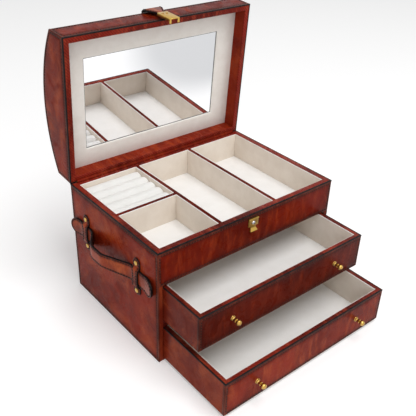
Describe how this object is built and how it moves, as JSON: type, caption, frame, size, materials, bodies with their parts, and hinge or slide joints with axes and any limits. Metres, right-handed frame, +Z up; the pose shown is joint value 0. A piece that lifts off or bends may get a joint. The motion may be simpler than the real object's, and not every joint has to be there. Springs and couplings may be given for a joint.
{
  "type": "jewellery chest",
  "caption": "Leather-covered jewellery chest with a domed mirror lid on a rolled hinge, a divided tray with a ring cushion, drawers, a clasp lock and side carrying straps.",
  "frame": {"origin": "middle of the base, on the surface the chest stands on", "axes": "+X to the chest's right as seen by the user in front of it, -Y out of its front, where the drawers pull out, +Z up"},
  "size_m": [0.364, 0.4194, 0.4097],
  "materials": {
    "leather_cover": "glossy mottled brown hide",
    "leather_rim": "glossy red-brown hide, turned over the edges",
    "leather_strap": "thick waxed hide with burnished dark edges",
    "suede": "cream suede lining",
    "cushion": "soft white padded rolls",
    "board": "raw fibreboard",
    "pad": "dark base covering",
    "brass": "polished and brushed brass",
    "steel": "zinc-plated screws",
    "mirror": "silvered glass"
  },
  "bodies": {
    "case": {"case_side_boards": "board", "case_back_board": "board", "case_base_board": "board", "base_pad": "pad", "case_front_board": "board", "tray_floor_board": "board", "drawer_shelf_board": "board", "drawer_kickers": "board", "case_cover_left": "leather_cover", "case_cover_right": "leather_cover", "case_cover_back": "leather_cover", "case_cover_front": "leather_cover", "tray_rim_cap": "leather_rim", "drawer_bay_edging": "leather_cover", "tray_long_dividers": "leather_rim", "tray_cross_divider": "leather_rim", "tray_linings": "suede", "ring_bay_lining": "suede", "ring_cushion": "cushion", "lock_plate": "brass", "hinge_case_leaf": "brass", "hinge_case_roll": "leather_rim", "hinge_pin": "brass", "handle_keepers": "leather_strap", "keeper_studs": "brass"},
    "lid": {"lid_boards": "board", "lid_dome_board": "board", "lid_cover_dome": "leather_cover", "lid_cover_left": "leather_cover", "lid_cover_right": "leather_cover", "lid_rim_cap": "leather_rim", "mirror_frame": "suede", "mirror_glass": "mirror", "mirror_backing": "board", "hinge_lid_leaf": "brass", "hinge_lid_roll": "leather_rim", "clasp_root": "leather_strap"},
    "clasp": {"clasp_strap": "leather_strap", "clasp_clip": "brass", "clasp_rivets": "brass"},
    "upper_drawer": {"upper_drawer_boards": "board", "upper_drawer_bottom": "board", "upper_drawer_cover": "leather_cover", "upper_drawer_rim_cap": "leather_rim", "upper_drawer_lining": "suede", "upper_drawer_knobs": "brass", "upper_drawer_rosettes": "brass", "upper_drawer_knob_screws": "steel"},
    "lower_drawer": {"lower_drawer_boards": "board", "lower_drawer_bottom": "board", "lower_drawer_cover": "leather_cover", "lower_drawer_rim_cap": "leather_rim", "lower_drawer_lining": "suede", "lower_drawer_knobs": "brass", "lower_drawer_rosettes": "brass", "lower_drawer_knob_screws": "steel"},
    "lock_button": {"lock_button": "brass"},
    "handle_left": {"handle_strap_left": "leather_strap"},
    "handle_right": {"handle_strap_right": "leather_strap"}
  },
  "joints": [
    {"name": "lid_hinge", "type": "hinge", "parent": "case", "child": "lid", "pos_m": [0, 0.1087, 0.1834], "axis": [1, 0, 0], "range_deg": [0, 86]},
    {"name": "clasp_hinge", "type": "hinge", "parent": "lid", "child": "clasp", "pos_m": [0, 0.13122, 0.40471], "axis": [-1, 0, 0], "range_deg": [0, 40]},
    {"name": "upper_drawer_slide", "type": "slide", "parent": "case", "child": "upper_drawer", "axis": [0, -1, 0], "range_m": [-0.075, 0.075]},
    {"name": "lower_drawer_slide", "type": "slide", "parent": "case", "child": "lower_drawer", "axis": [0, -1, 0], "range_m": [-0.128, 0.022]},
    {"name": "lock_button_slide", "type": "slide", "parent": "case", "child": "lock_button", "axis": [0, 1, 0], "range_m": [0, 0.0012], "stiffness_N_per_m": 250, "springref_m": -0.002},
    {"name": "handle_left_slide", "type": "slide", "parent": "case", "child": "handle_left", "axis": [0, 1, 0], "range_m": [-0.004, 0.004]},
    {"name": "handle_right_slide", "type": "slide", "parent": "case", "child": "handle_right", "axis": [0, 1, 0], "range_m": [-0.004, 0.004]}
  ]
}
